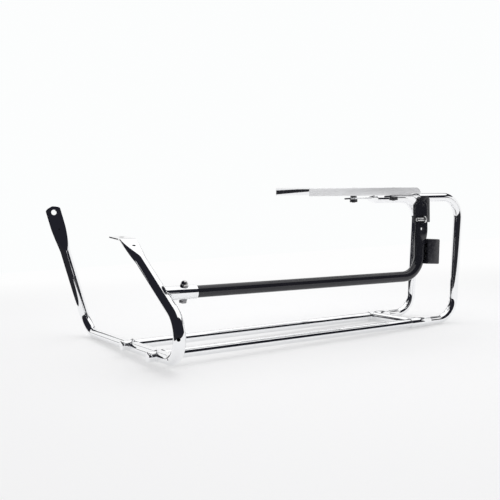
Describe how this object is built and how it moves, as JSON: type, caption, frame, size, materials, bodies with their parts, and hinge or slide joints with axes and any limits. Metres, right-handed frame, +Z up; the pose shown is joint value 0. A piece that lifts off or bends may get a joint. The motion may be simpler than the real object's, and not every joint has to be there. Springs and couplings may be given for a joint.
{
  "type": "saddlebag guard",
  "caption": "Chromed tube cage with a looped front guard, twin lower rails, rear hoops, a top channel and a black support tube, for carrying a motorcycle saddlebag.",
  "frame": {"origin": "centre of the bolt hole in the front guard tube's paddle, at the middle of its thickness", "axes": "+X along the lower rails to the rear, +Y across the cage from the big bend to the arm, +Z up as the guard lies on its outer side"},
  "size_m": [0.8278, 0.5431, 0.327],
  "materials": {
    "guard_chrome": "polished, with light scuffs",
    "rail_chrome": "polished",
    "hoop_chrome": "polished",
    "channel_chrome": "scuffed and hazy along its faces",
    "sleeve_chrome": "polished",
    "cap_nut_chrome": "polished",
    "zinc_steel": "bright zinc plate",
    "black_nut": "satin black",
    "black_paint": "semi-gloss black, lightly worn"
  },
  "bodies": {
    "root": {"front_guard_tube": "guard_chrome", "near_rail_tube": "rail_chrome", "far_rail_tube": "rail_chrome", "near_rail_stub": "rail_chrome", "far_rail_stub": "rail_chrome", "near_rear_socket": "rail_chrome", "far_rear_socket": "rail_chrome", "rear_crossbar": "rail_chrome", "near_rear_hoop": "hoop_chrome", "far_rear_hoop": "hoop_chrome", "top_channel": "channel_chrome", "channel_bolts": "zinc_steel", "channel_spacers": "zinc_steel", "channel_nuts": "black_nut", "support_sleeve": "sleeve_chrome", "support_tube": "black_paint", "sleeve_bolt": "zinc_steel", "sleeve_washers": "zinc_steel", "sleeve_cap_nut": "cap_nut_chrome", "hoop_tab": "black_paint", "tab_pin": "zinc_steel", "box_bracket": "black_paint"}
  },
  "joints": []
}
